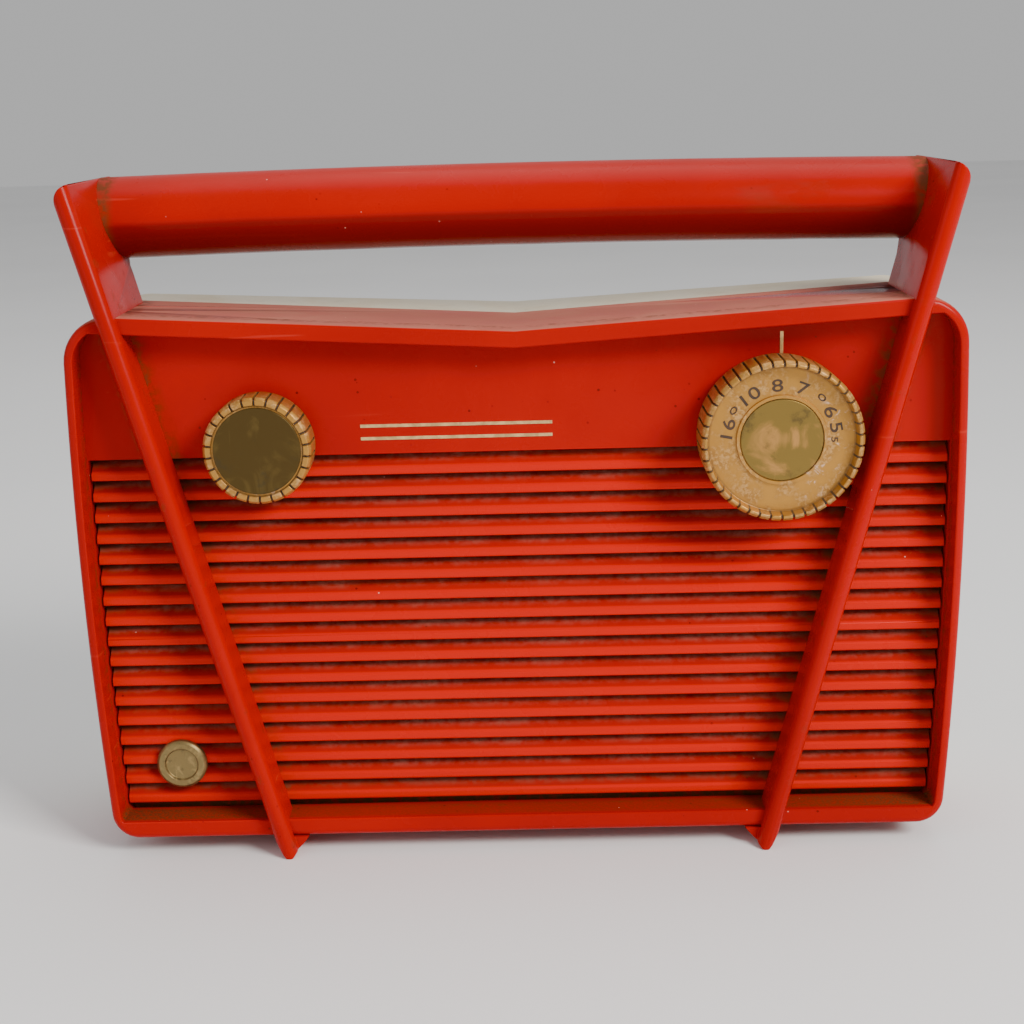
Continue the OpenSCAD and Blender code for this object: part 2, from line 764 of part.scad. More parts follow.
module cover_shape(inset, y0, y1) {
  hull() {
    slab(y0, shell_d + 0.5 * cover_d) outline(inset - 1);
    translate([0, 0, -3]) slab(y1 - 1, y1) outline(inset + 6);
  }
}

module back_cover() {
  y0 = shell_d + seam;
  slot_w = 60;
  color(cream) placed() difference() {
    intersection() {
      slab(y0, back_y) outline();
      cover_shape(0, y0, back_y);
    }
    intersection() {
      slab(y0 - 1, back_y - wall) outline(wall);
      cover_shape(wall, y0 - 1, back_y - wall);
    }
    for (s = [-1, 1]) {
      rod(s * fastener_x, fastener_z, fastener_r + 1, back_y - 10, back_y + 1);
      rod(s * fastener_x, fastener_z, 7.3, back_y - 1.4, back_y + 1);
    }
    for (i = [0:9], s = [-1, 0, 1])
      translate([s * (slot_w + 8) - slot_w / 2, back_y - wall - 3, speaker_z - 32 + i * 7])
        cube([slot_w, wall + 4, 2.4]);
  }
}

module fastener(s) {
  color(steel) placed() difference() {
    union() {
      rod(s * fastener_x, fastener_z, 7, back_y - 1.4, back_y - 0.1);
      rod(s * fastener_x, fastener_z, fastener_r, shell_d + 6, back_y - 1);
    }
    translate([s * fastener_x - 8, back_y - 0.8, fastener_z - 0.9]) cube([16, 2, 1.8]);
  }
}

module back_fastener_left() { fastener(-1); }
module back_fastener_right() { fastener(1); }

module rear_feet() {
  color([0.10, 0.10, 0.10]) placed() for (s = [-1, 1])
    translate([s * (foot_x + 15), shell_d + 9, floor_z]) cylinder(r = 6, h = foot_h);
}

front_shell();
louvre_grille();
grille_cloth();
left_arm();
right_arm();
handle_bar();
handle_rod();
arm_screws();
index_line();
gold_lines();
brass_badge();
volume_knob();
volume_knob_disc();
volume_shaft();
volume_control();
volume_nut();
power_switch();
tuning_dial();
tuning_dial_disc();
capacitor_rotor();
capacitor_frame();
capacitor_stator();
stator_insulators();
chassis_plate();
chassis_screws();
circuit_board();
board_spacers();
board_screws();
if_can_1();
if_can_2();
if_can_3();
transistors();
electrolytics();
driver_transformer();
output_transformer();
ferrite_rod();
antenna_coil();
antenna_holders();
speaker_baffle();
speaker_basket();
speaker_cone();
speaker_dust_cap();
speaker_magnet();
speaker_screws();
battery_tray_left();
battery_tray_right();
battery_1();
battery_2();
battery_3();
battery_4();
battery_contacts();
back_cover();
back_fastener_left();
back_fastener_right();
rear_feet();
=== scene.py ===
"""Finishes and fine detail for a red portable radio, built around its packed construction model."""

import json
import math

import bpy
from mathutils import Matrix, Vector
from mathutils.kdtree import KDTree

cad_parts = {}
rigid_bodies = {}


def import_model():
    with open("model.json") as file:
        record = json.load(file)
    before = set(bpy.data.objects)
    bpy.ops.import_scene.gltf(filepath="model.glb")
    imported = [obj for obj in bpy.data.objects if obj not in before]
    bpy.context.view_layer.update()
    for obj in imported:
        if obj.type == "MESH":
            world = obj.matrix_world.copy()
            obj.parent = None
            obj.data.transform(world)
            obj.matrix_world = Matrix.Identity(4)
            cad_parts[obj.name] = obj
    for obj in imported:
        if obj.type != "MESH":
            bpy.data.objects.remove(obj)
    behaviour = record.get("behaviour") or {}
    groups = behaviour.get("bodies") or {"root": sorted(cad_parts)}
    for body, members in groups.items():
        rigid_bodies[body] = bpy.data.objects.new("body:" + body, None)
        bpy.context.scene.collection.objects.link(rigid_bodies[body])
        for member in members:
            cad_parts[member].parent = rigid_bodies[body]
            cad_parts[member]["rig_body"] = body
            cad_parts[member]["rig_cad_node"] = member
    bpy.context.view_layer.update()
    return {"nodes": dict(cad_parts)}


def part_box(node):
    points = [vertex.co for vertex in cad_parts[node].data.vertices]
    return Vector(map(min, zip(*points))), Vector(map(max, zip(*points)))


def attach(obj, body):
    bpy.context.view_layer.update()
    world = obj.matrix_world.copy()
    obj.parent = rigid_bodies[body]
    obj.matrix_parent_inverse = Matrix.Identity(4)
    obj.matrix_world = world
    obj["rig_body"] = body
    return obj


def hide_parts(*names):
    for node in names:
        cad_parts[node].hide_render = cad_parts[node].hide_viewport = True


bl_info = {
    "name": "Portable Radio Finish",
    "version": (1, 0, 0),
    "blender": (4, 5, 0),
    "location": "View3D > Sidebar > Radio",
    "description": "Rounds, details and finishes a louvred portable radio",
    "category": "Object",
}

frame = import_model()

MM = 0.001
NODES = frame["nodes"]

# The panel frame: x across, y back from the panel's face, z up from the panel's lower edge
PANEL_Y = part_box("louvre_grille")[0].y
PANEL_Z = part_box("louvre_grille")[1].z
SHELL_LOW, SHELL_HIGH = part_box("front_shell")
RIM_Y = SHELL_LOW.y
SILL_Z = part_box("louvre_grille")[0].z + 2.5 * MM
FOOT_X = 70 * MM
LEAN = math.radians(14.36)
RAIL_HALF = 2.6 * MM

# Tolerances of the modelling helpers
WELD = 2e-6  # metres within which a node's loose triangles are joined
DOUBLES = 1e-6  # metres within which doubles are merged
SQUARE_ON = 0.9999  # a face looks straight ahead where its normal's y is past this
WALL_TILT = 0.05  # and is a wall that runs straight back where it is under this
NEAR_WALL = 0.03 * MM  # a point this close to a wall's point moves with it
ROLL_STRIPS = 5  # strips across a rolled edge

# Fixed shades of wear and dirt, of painted highlight and painted shade, and of the printed pieces
SPECK = (0.045, 0.006, 0.004)
SCRATCHED_RED = (0.62, 0.06, 0.03)
# The next shade is a painted highlight on the slats' lips
LIP_HIGHLIGHT_RED = (0.58, 0.006, 0.0)
SHADED_RED = (0.17, 0.001, 0.0)
THICK_DUST = (0.46, 0.17, 0.12)
CHIPPED = (0.80, 0.42, 0.34)
YELLOWED_CREAM = (0.60, 0.48, 0.28)
CREAM_GRIME = (0.30, 0.22, 0.13)
DULL_GOLD = (0.36, 0.17, 0.035)
CHALKY_GOLD = (0.66, 0.46, 0.34)
# The next shade is painted shade at the foot of the knobs' notched rings
SHOULDER_SHADE = (0.16, 0.075, 0.02)
NOTCH_DIRT = (0.075, 0.036, 0.014)
TARNISH = (0.06, 0.045, 0.02)
NUMBER_INK = (0.05, 0.022, 0.008)
JACKET_RED = (0.40, 0.022, 0.012)
JACKET_BRIGHT = (0.50, 0.035, 0.018)
JACKET_BAND = (0.03, 0.03, 0.035)
JACKET_STEEL = (0.55, 0.54, 0.52)


def middle(node):
    """Centre of a node's box."""
    low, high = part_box(node)
    return (low + high) / 2


VOLUME = middle("volume_knob")
DIAL = middle("tuning_dial")
VOLUME_R = (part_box("volume_knob")[1].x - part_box("volume_knob")[0].x) / 2
DIAL_R = (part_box("tuning_dial")[1].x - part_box("tuning_dial")[0].x) / 2
DIAL_FACE_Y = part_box("tuning_dial")[0].y + 3.4 * MM


# ---- sizes and colours that a user would change ----

def length(name, text, value):
    """A size property, in metres."""
    return bpy.props.FloatProperty(name=name, description=text, default=value, min=0.0,
                                   unit="LENGTH", precision=5)


def colour(name, text, value):
    """A colour property."""
    return bpy.props.FloatVectorProperty(name=name, description=text, default=value, size=3,
                                         min=0.0, max=1.0, subtype="COLOR")


class RadioSizes(bpy.types.PropertyGroup):
    rim_round: length("Rim rounding", "Radius of the cabinet's outer front edge", 2.0 * MM)
    brow_round: length("Brow rounding", "Radius of the top front edge between the arms",
                       0.7 * MM)
    soft_edge: length("Soft edge", "Radius of the other moulded edges", 0.35 * MM)
    arm_edge: length("Arm edge", "Radius of the arms' edges", 0.8 * MM)
    nose_round: length("Grip nose", "How far the grip's two arcs blend at its front and back",
                       2.2 * MM)
    digit_height: length("Digit height", "Height of the large numbers on the dial", 3.5 * MM)
    digit_radius: length("Digit circle", "Radius of the circle that the numbers stand on",
                         13.5 * MM)


class RadioColours(bpy.types.PropertyGroup):
    red: colour("Red plastic", "Clean moulded red", (0.43, 0.0015, 0.0))
    # The deep red is handled and grimy red, and is also painted shade deep in the slats' slopes
    deep_red_and_shade: colour("Deep red", "Handled and grimy red", (0.22, 0.001, 0.0))
    dust: colour("Dust", "Pale settled dust", (0.40, 0.075, 0.035))
    dirt: colour("Dirt", "Brown dirt in the corners", (0.13, 0.040, 0.012))
    cream: colour("Cream plastic", "Moulded back cover", (0.74, 0.67, 0.48))
    gold: colour("Gold finish", "Gilded plastic of the knobs", (0.47, 0.225, 0.038))
    worn_gold: colour("Worn gold", "Gilding rubbed pale", (0.62, 0.36, 0.13))
    brass: colour("Olive brass", "Aged inset of the dial", (0.23, 0.145, 0.032))
    brass_dark: colour("Dark brass", "Aged inset of the volume knob", (0.085, 0.050, 0.010))


# ---- modelling helpers ----

def deselect():
    """Leaves edit mode and deselects everything."""
    if bpy.context.object and bpy.context.object.mode != "OBJECT":
        bpy.ops.object.mode_set(mode="OBJECT")
    bpy.ops.object.select_all(action="DESELECT")


def activate(piece):
    """Makes one piece the only selected and active one."""
    deselect()
    piece.select_set(True)
    bpy.context.view_layer.objects.active = piece


def smooth(piece, degrees=35):
    """Shades a piece smooth, but for edges sharper than this angle."""
    activate(piece)
    bpy.ops.object.shade_smooth_by_angle(angle=math.radians(degrees))


def outward(piece):
    """Merges doubles and turns every face outwards."""
    activate(piece)
    bpy.ops.object.mode_set(mode="EDIT")
    bpy.ops.mesh.select_all(action="SELECT")
    bpy.ops.mesh.remove_doubles(threshold=DOUBLES)
    bpy.ops.mesh.normals_make_consistent(inside=False)
    bpy.ops.object.mode_set(mode="OBJECT")


def apply_modifier(piece, kind, **settings):
    """Adds a modifier with these settings and applies it."""
    activate(piece)
    bpy.ops.object.modifier_add(type=kind)
    modifier = piece.modifiers[-1]
    for key, value in settings.items():
        setattr(modifier, key, value)
    bpy.ops.object.modifier_apply(modifier=modifier.name)


def finish_piece(piece, name, body, slot, material, *replaced):
    """Names a piece, gives it its finish and its body, and hides the nodes that it replaces."""
    piece.name = name
    piece.data.name = name
    piece.data.materials.clear()
    piece.data.materials.append(material)
    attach(piece, body)
    if replaced:
        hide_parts(*replaced)


def finish_node(node, material):
    """Gives a construction piece that stays as it is its finish."""
    slots = NODES[node].data.materials
    slots.clear()
    slots.append(material)


def merged_copy(node, flat=0.1, joins=None):
    """A node's shape as a new piece, its loose triangles joined into flat faces.

    flat is the angle in degrees up to which neighbouring faces count as one. Where joins is given,
    only the faces that it picks are joined.
    """
    deselect()
    piece = NODES[node].copy()
    piece.data = NODES[node].data.copy()
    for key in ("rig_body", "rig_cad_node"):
        if key in piece:
            del piece[key]
    piece.parent = None
    bpy.context.scene.collection.objects.link(piece)
    activate(piece)
    bpy.ops.object.mode_set(mode="EDIT")
    bpy.ops.mesh.select_all(action="SELECT")
    bpy.ops.mesh.remove_doubles(threshold=WELD)
    if joins:
        bpy.ops.mesh.select_all(action="DESELECT")
        bpy.ops.object.mode_set(mode="OBJECT")
        for polygon in piece.data.polygons:
            polygon.select = joins(polygon)
        bpy.ops.object.mode_set(mode="EDIT")
    bpy.ops.mesh.dissolve_limited(angle_limit=math.radians(flat))
    bpy.ops.object.mode_set(mode="OBJECT")
    return piece


def flatten_fronts(piece):
    """Keeps faces that look straight to the front or back free of smoothing."""
    for polygon in piece.data.polygons:
        if abs(polygon.normal.y) > SQUARE_ON:
            polygon.use_smooth = False


def edge_facts(mesh):
    """For each edge between two faces: its index, middle, direction, and the angle it turns."""
    faces_of = {}
    for polygon in mesh.polygons:
        for key in polygon.edge_keys:
            faces_of.setdefault(key, []).append(polygon)
    for edge in mesh.edges:
        faces = faces_of.get(tuple(sorted(edge.vertices)), [])
        if len(faces) != 2:
            continue
        a, b = (mesh.vertices[i].co for i in edge.vertices)
        angle = faces[0].normal.angle(faces[1].normal, 0.0)
        yield edge.index, (a + b) / 2, b - a, angle


def rounded(node, width, radius_of, segments, least=25):
    """A copy of a node whose sharp edges are rounded, each by the radius that radius_of gives it.

    width is at least the largest of those radii, and least is the angle in degrees past which an
    edge is sharp.
    """
    piece = merged_copy(node)
    mesh = piece.data
    weights = mesh.attributes.new("bevel_weight_edge", "FLOAT", "EDGE")
    for index, mid, run, angle in edge_facts(mesh):
        if math.degrees(angle) > least:
            weights.data[index].value = min(1.0, radius_of(mid, run) / width)
    apply_modifier(piece, "BEVEL", width=width, segments=segments, limit_method="WEIGHT",
                   use_clamp_overlap=False, harden_normals=False, miter_outer="MITER_ARC")
    low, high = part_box(node)
    for vertex in mesh.vertices:
        vertex.co = [min(max(v, a), b) for v, a, b in zip(vertex.co, low, high)]
    smooth(piece)
    flatten_fronts(piece)
    return piece


def roll_front(piece, front, radius_of, radii):
    """Rolls the walls that run straight back from a flat front into it, each by its own radius.

    front is the front's y, and radii are all the radii that radius_of may give.
    """
    activate(piece)
    bpy.ops.object.mode_set(mode="EDIT")
    for r in radii:
        for k in range(1, ROLL_STRIPS + 1):
            depth = r * (1 - math.cos(math.radians(90 * k / ROLL_STRIPS)))
            bpy.ops.mesh.select_all(action="SELECT")
            bpy.ops.mesh.bisect(plane_co=(0, front + depth, 0), plane_no=(0, 1, 0))
    bpy.ops.object.mode_set(mode="OBJECT")
    mesh = piece.data
    walls = {}
    for polygon in mesh.polygons:
        if abs(polygon.normal.y) > WALL_TILT or polygon.center.y > front + max(radii):
            continue
        r = radius_of(polygon.center, polygon.normal)
        if r > 0:
            for index in polygon.vertices:
                normal, least = walls.get(index, (Vector(), r))
                walls[index] = (normal + polygon.normal * polygon.area, min(r, least))
    tree = KDTree(len(walls))
    for index in walls:
        tree.insert(mesh.vertices[index].co, index)
    tree.balance()
    for vertex in mesh.vertices:
        if vertex.index not in walls and vertex.co.y < front + max(radii):
            _, index, gap = tree.find(vertex.co)
            if gap < NEAR_WALL:
                walls[vertex.index] = walls[index]
    for index, (normal, r) in walls.items():
        vertex = mesh.vertices[index]
        left = r - max(0.0, vertex.co.y - front)
        if left > 0:
            vertex.co -= normal.normalized() * (r - math.sqrt(max(0.0, r * r - left * left)))
    smooth(piece, 32)
    flatten_fronts(piece)


# ---- material helpers ----

class Shader:
    """Builds one node material; sockets are passed round as values."""

    def __init__(self, name):
        self.material = bpy.data.materials.new(name)
        self.material.use_nodes = True
        self.tree = self.material.node_tree
        self.tree.nodes.clear()
        output = self.tree.nodes.new("ShaderNodeOutputMaterial")
        self.surface = self.tree.nodes.new("ShaderNodeBsdfPrincipled")
        self.tree.links.new(self.surface.outputs[0], output.inputs["Surface"])
        coordinates = self.tree.nodes.new("ShaderNodeTexCoord")
        self.place = coordinates.outputs["Object"]
        split = self.tree.nodes.new("ShaderNodeSeparateXYZ")
        self.tree.links.new(self.place, split.inputs[0])
        self.x, self.y, self.z = split.outputs
        facing = self.tree.nodes.new("ShaderNodeSeparateXYZ")
        self.tree.links.new(coordinates.outputs["Normal"], facing.inputs[0])
        self.back = facing.outputs[1]
        self.up = facing.outputs[2]

    def put(self, socket, value):
        """Links a socket to another, or sets it to a number or colour."""
        if isinstance(value, bpy.types.NodeSocket):
            self.tree.links.new(value, socket)
        elif socket.type == "RGBA":
            socket.default_value = (*value[:3], 1.0)
        else:
            socket.default_value = value

    def sum(self, operation, a, b=0.0, c=0.0, clamp=False):
        """One step of arithmetic, by the name of its operation."""
        node = self.tree.nodes.new("ShaderNodeMath")
        node.operation = operation
        node.use_clamp = clamp
        for socket, value in zip(node.inputs, (a, b, c)):
            self.put(socket, value)
        return node.outputs[0]

    def ease(self, value, low, high, to_low=0.0, to_high=1.0):
        """Runs smoothly from one level to another as value goes from low to high."""
        node = self.tree.nodes.new("ShaderNodeMapRange")
        node.interpolation_type = "SMOOTHSTEP"
        for name, number in (("Value", value), ("From Min", low), ("From Max", high),
                             ("To Min", to_low), ("To Max", to_high)):
            self.put(node.inputs[name], number)
        return node.outputs[0]

    def noise(self, scale, detail, rough=0.55, distortion=0.0, stretch=None):
        """Cloudy noise; stretch scales it along each axis."""
        node = self.tree.nodes.new("ShaderNodeTexNoise")
        node.inputs["Scale"].default_value = scale
        node.inputs["Detail"].default_value = detail
        node.inputs["Roughness"].default_value = rough
        node.inputs["Distortion"].default_value = distortion
        place = self.stretched(stretch) if stretch else self.place
        self.tree.links.new(place, node.inputs["Vector"])
        return node.outputs["Fac"]

    def stretched(self, factors):
        node = self.tree.nodes.new("ShaderNodeMapping")
        node.inputs["Scale"].default_value = factors
        self.tree.links.new(self.place, node.inputs["Vector"])
        return node.outputs[0]

    def cells(self, scale):
        """Distance from the nearest of many scattered points."""
        node = self.tree.nodes.new("ShaderNodeTexVoronoi")
        node.inputs["Scale"].default_value = scale
        self.tree.links.new(self.place, node.inputs["Vector"])
        return node.outputs["Distance"]

    def mix(self, amount, a, b):
        """One colour over another."""
        node = self.tree.nodes.new("ShaderNodeMix")
        node.data_type = "RGBA"
        factor, colour_a, colour_b = (node.inputs[i] for i in (0, 6, 7))
        self.put(factor, amount)
        self.put(colour_a, a)
        self.put(colour_b, b)
        return node.outputs[2]

    def most(self, *values):
        """The largest of the values."""
        result = values[0]
        for value in values[1:]:
            result = self.sum("MAXIMUM", result, value)
        return result

    def both(self, *values):
        """The values multiplied, so it is high only where all of them are."""
        result = values[0]
        for value in values[1:]:
            result = self.sum("MULTIPLY", result, value)
        return result

    def bump(self, height, distance, strength):
        """Relief, distance metres high where height goes from 0 to 1."""
        node = self.tree.nodes.new("ShaderNodeBump")
        node.inputs["Strength"].default_value = strength
        node.inputs["Distance"].default_value = distance
        self.put(node.inputs["Height"], height)
        self.tree.links.new(node.outputs[0], self.surface.inputs["Normal"])

    def done(self, colour, roughness, metallic=0.0, coat=0.0, ior=1.5, shine=0.5):
        """Sets the surface and gives back the material."""
        self.put(self.surface.inputs["Base Color"], colour)
        self.put(self.surface.inputs["Roughness"], roughness)
        self.put(self.surface.inputs["Metallic"], metallic)
        self.surface.inputs["IOR"].default_value = ior
        self.surface.inputs["Specular IOR Level"].default_value = shine
        self.surface.inputs["Coat Weight"].default_value = coat
        self.surface.inputs["Coat Roughness"].default_value = 0.12
        return self.material


def radius_from(shader, centre):
    """Distance from an axis that runs along the depth."""
    dx = shader.sum("SUBTRACT", shader.x, centre.x)
    dz = shader.sum("SUBTRACT", shader.z, centre.z)
    return shader.sum("SQRT", shader.sum("ADD", shader.both(dx, dx), shader.both(dz, dz)))


def rail_distance(shader):
    """Distance from the nearer rail's side, across the front."""
    line = shader.sum("MULTIPLY_ADD", shader.z, math.tan(LEAN), FOOT_X)
    off_centre = shader.sum("ABSOLUTE", shader.x)
    across = shader.sum("ABSOLUTE", shader.sum("SUBTRACT", off_centre, line))
    return shader.sum("SUBTRACT", across, RAIL_HALF)


class RedPlastic(Shader):
    """Glossy moulded red, with dust where it settles and dirt where a cloth can't reach."""

    def __init__(self, name):
        super().__init__(name)
        self.tint = bpy.context.scene.radio_colours
        self.patch = self.noise(55, 5, 0.6, 0.4)
        self.fine = self.noise(420, 5, 0.65)
        self.depth = self.sum("SUBTRACT", self.y, PANEL_Y)
        self.faces_up = self.ease(self.up, 0.55, 0.95)

    def scuffed(self):
        """The clean red, deeper in broad patches, with stains, dark specks and pale scratches."""
        tint = self.tint
        broad = self.ease(self.noise(14, 3, 0.5), 0.35, 0.70, 0.0, 0.35)
        red = self.mix(broad, tint.red, tint.deep_red_and_shade)
        stain = self.both(self.ease(self.patch, 0.54, 0.70), self.ease(self.fine, 0.40, 0.62))
        red = self.mix(self.both(stain, 0.10), red, tint.deep_red_and_shade)
        specks = self.both(self.ease(self.cells(230), 0.10, 0.06),
                           self.ease(self.noise(60, 2), 0.52, 0.60))
        red = self.mix(self.both(specks, 0.75), red, SPECK)
        lines = self.noise(45, 2, 0.5, 0.0, stretch=(0.25, 1.0, 9.0))
        scratches = self.ease(lines, 0.70, 0.74)
        return self.mix(self.both(scratches, 0.30), red, SCRATCHED_RED)

    def settled_dust(self):
        """Dust on what faces up, from the panel's lower edge to full strength 20 mm above it."""
        above_panel = self.ease(self.z, PANEL_Z, PANEL_Z + 20 * MM)
        return self.both(self.faces_up, above_panel, self.ease(self.patch, 0.25, 0.75, 0.60, 1.0))

    def rail_dirt(self):
        """Dirt on the front, up to 5 mm from each rail's side."""
        near_rail = self.ease(rail_distance(self), 0.2 * MM, 5.0 * MM, 1.0, 0.0)
        in_front = self.ease(self.depth, -6 * MM, -1 * MM)
        return self.both(near_rail, self.ease(self.fine, 0.38, 0.62, 0.10, 0.8), in_front)

    def finished(self, red, dust, dirt):
        """Lays the dust, the dirt and a few chips over the red."""
        tint = self.tint
        chips = self.both(self.ease(self.cells(160), 0.045, 0.03),
                          self.ease(self.noise(35, 2), 0.55, 0.62), 0.7)
        shade = self.mix(dust, red, self.mix(self.faces_up, tint.dust, THICK_DUST))
        shade = self.mix(dirt, shade, tint.dirt)
        shade = self.mix(chips, shade, CHIPPED)
        soiled = self.most(dust, dirt)
        gloss = self.ease(self.patch, 0.3, 0.7, 0.20, 0.33)
        rough = self.sum("ADD", gloss, self.both(soiled, 0.45), clamp=True)
        relief = self.sum("ADD", self.both(self.noise(90, 2), 0.5), self.both(soiled, self.fine))
        self.bump(relief, 0.12 * MM, 0.35)
        return self.done(shade, rough, ior=1.36, shine=0.18)


def red_louvres():
    """Lips brightened by a painted highlight and slopes darkened towards the back by painted shade,
    with film, dirt and grit at the back of each slat.
    """
    s = RedPlastic("red_louvres")
    back = s.ease(s.depth, 0.5 * MM, 3.6 * MM)
    # Painted highlight: the lips brighten within a millimetre of the front
    red = s.mix(s.ease(s.depth, 0.9 * MM, 0.3 * MM), s.scuffed(), LIP_HIGHLIGHT_RED)
    # Painted shade: the slopes darken towards the back of each slat
    red = s.mix(s.ease(s.depth, 0.2 * MM, 4.2 * MM, 0.0, 0.75), red, s.tint.deep_red_and_shade)
    film = s.both(back, s.ease(s.fine, 0.30, 0.68, 0.25, 0.95),
                  s.ease(s.patch, 0.30, 0.66, 0.30, 1.0))
    ends = s.ease(s.sum("ABSOLUTE", s.x), 113 * MM, 121 * MM)
    foot = s.ease(s.z, SILL_Z + 2 * MM, SILL_Z + 11 * MM, 1.0, 0.0)
    grit = s.both(s.ease(s.noise(1500, 3, 0.7), 0.56, 0.66), back, s.ease(s.fine, 0.45, 0.6))
    dirt = s.most(s.both(s.rail_dirt(), s.ease(s.depth, 0.0, 2.5 * MM, 0.25, 1.0)),
                  s.both(ends, back, s.ease(s.fine, 0.3, 0.6)),
                  s.both(foot, back, s.ease(s.fine, 0.35, 0.55)), s.both(grit, 0.8))
    return s.finished(red, film, dirt)


def red_shell():
    """Gritty dirt along the sill, heavier towards the corners, and a soiled seam in the rim."""
    s = RedPlastic("red_shell")
    on_panel = s.ease(s.depth, 0, 3 * MM, 1.0, 0.0)
    sill = s.both(s.ease(s.z, SILL_Z + 0.3 * MM, SILL_Z + 3 * MM, 1.0, 0.0),
                  s.ease(s.y, RIM_Y + 0.6 * MM, RIM_Y + 2.5 * MM), on_panel)
    corner = s.ease(s.sum("ABSOLUTE", s.x), 40 * MM, 122 * MM, 0.45, 1.0)
    grit = s.both(s.ease(s.noise(1100, 6, 0.75), 0.36, 0.60, 0.35, 1.0), corner)
    walls = s.ease(s.sum("ABSOLUTE", s.back), 0.3, 0.7, 1.0, 0.0)
    rim_seam = s.both(s.ease(s.y, RIM_Y + 2.0 * MM, PANEL_Y, 0.0, 0.6),
                      s.ease(s.fine, 0.45, 0.62), s.ease(s.depth, 0.0, 1 * MM, 1.0, 0.0), walls)
    dirt = s.most(s.rail_dirt(), s.both(sill, grit), rim_seam)
    return s.finished(s.scuffed(), s.settled_dust(), dirt)


def red_arms():
    """Handled arms, nearly clean, with a little dirt in patches."""
    s = RedPlastic("red_arms")
    dirt = s.both(s.ease(s.noise(180, 4, 0.6), 0.60, 0.74), 0.35)
    return s.finished(s.scuffed(), s.both(s.settled_dust(), 0.15), dirt)


def red_grip():
    """A grip with painted shade on its lower faces, and soiled in the seams at its ends."""
    s = RedPlastic("red_grip")
    # Painted shade on the faces that look down
    red = s.mix(s.ease(s.up, 0.05, -0.25, 0.0, 0.85), s.scuffed(), SHADED_RED)
    wide = s.noise(30, 5, 0.62, 0.6, stretch=(0.5, 1.0, 1.0))
    seam = s.ease(s.sum("ABSOLUTE", s.x), 111.0 * MM, 114.5 * MM)
    dirt = s.most(s.both(s.ease(wide, 0.60, 0.78), 0.30),
                  s.both(seam, s.ease(s.fine, 0.35, 0.6, 0.3, 0.9)))
    return s.finished(red, s.both(s.settled_dust(), 0.10), dirt)


def cream_plastic():
    """Yellowed cream plastic with grime in its grain."""
    tint = bpy.context.scene.radio_colours
    s = Shader("cream_plastic_aged")
    patch = s.noise(40, 5, 0.6, 0.3)
    fine = s.noise(500, 5, 0.6)
    shade = s.mix(s.ease(patch, 0.35, 0.7, 0.0, 0.4), tint.cream, YELLOWED_CREAM)
    grime = s.both(s.ease(s.noise(170, 6, 0.7), 0.54, 0.74), 0.28)
    shade = s.mix(grime, shade, CREAM_GRIME)
    s.bump(fine, 0.06 * MM, 0.3)
    return s.done(shade, s.ease(patch, 0.3, 0.7, 0.32, 0.46), coat=0.05)


def gilded(name, centre, rim, notches):
    """Gilded plastic, rubbed pale on the high spots, with dirt in the grip notches and painted
    shade at the foot of the notched ring.
    """
    tint = bpy.context.scene.radio_colours
    s = Shader(name)
    patch = s.noise(150, 5, 0.62, 0.5)
    fine = s.noise(900, 4, 0.65)
    radius = radius_from(s, centre)
    shade = s.mix(s.ease(patch, 0.35, 0.68), tint.gold, DULL_GOLD)
    rubbed = s.both(s.ease(fine, 0.42, 0.62), s.ease(patch, 0.42, 0.60))
    shade = s.mix(s.both(rubbed, 0.75), shade, tint.worn_gold)
    pale = s.both(s.ease(s.noise(260, 6, 0.7, 1.0), 0.56, 0.64),
                  s.ease(s.noise(70, 2), 0.50, 0.60),
                  s.ease(radius, rim - 1.8 * MM, rim - 2.6 * MM))
    shade = s.mix(s.both(pale, 0.8), shade, CHALKY_GOLD)
    angle = s.sum("ARCTAN2", s.sum("SUBTRACT", s.x, centre.x),
                  s.sum("SUBTRACT", s.z, centre.z))
    turn = s.sum("FRACT", s.sum("MULTIPLY_ADD", angle, notches / math.tau, notches + 0.5))
    off = s.sum("ABSOLUTE", s.sum("SUBTRACT", turn, 0.5))
    half_notch = 0.32 * MM * notches / (math.tau * rim)
    groove = s.both(s.ease(off, half_notch * 0.7, half_notch * 1.35, 1.0, 0.0),
                    s.ease(radius, rim - 2.4 * MM, rim - 2.0 * MM))
    # Painted shade in a band on the floor at the foot of the raised notched ring
    inner = s.both(s.ease(radius, rim - 2.9 * MM, rim - 2.2 * MM),
                   s.ease(radius, rim - 2.2 * MM, rim - 1.9 * MM, 1.0, 0.0))
    shade = s.mix(s.both(inner, 0.55), shade, SHOULDER_SHADE)
    shade = s.mix(groove, shade, NOTCH_DIRT)
    s.bump(s.sum("ADD", patch, s.both(fine, 0.6)), 0.10 * MM, 0.45)
    metal = s.ease(s.most(groove, pale), 0.0, 1.0, 0.55, 0.0)
    return s.done(shade, s.ease(patch, 0.3, 0.7, 0.34, 0.52), metallic=metal)


def aged_brass(name, main, bright, amount, scale):
    """Clouded and tarnished brass, scratched up and down; amount is how far the clouds go."""
    s = Shader(name)
    cloud = s.noise(scale, 5, 0.6, 0.8)
    fine = s.noise(1200, 4, 0.7)
    shade = s.mix(s.ease(cloud, 0.50, 0.66, 0.0, amount), main, bright)
    dark = s.both(s.ease(s.noise(scale * 1.7, 6, 0.7), 0.55, 0.68), 0.55)
    shade = s.mix(dark, shade, TARNISH)
    scratch = s.ease(s.noise(60, 3, 0.6, 0.0, stretch=(14, 1, 0.6)), 0.66, 0.72)
    shade = s.mix(s.both(scratch, 0.35), shade, bright)
    s.bump(fine, 0.03 * MM, 0.35)
    return s.done(shade, s.ease(cloud, 0.35, 0.7, 0.36, 0.50), metallic=0.75)


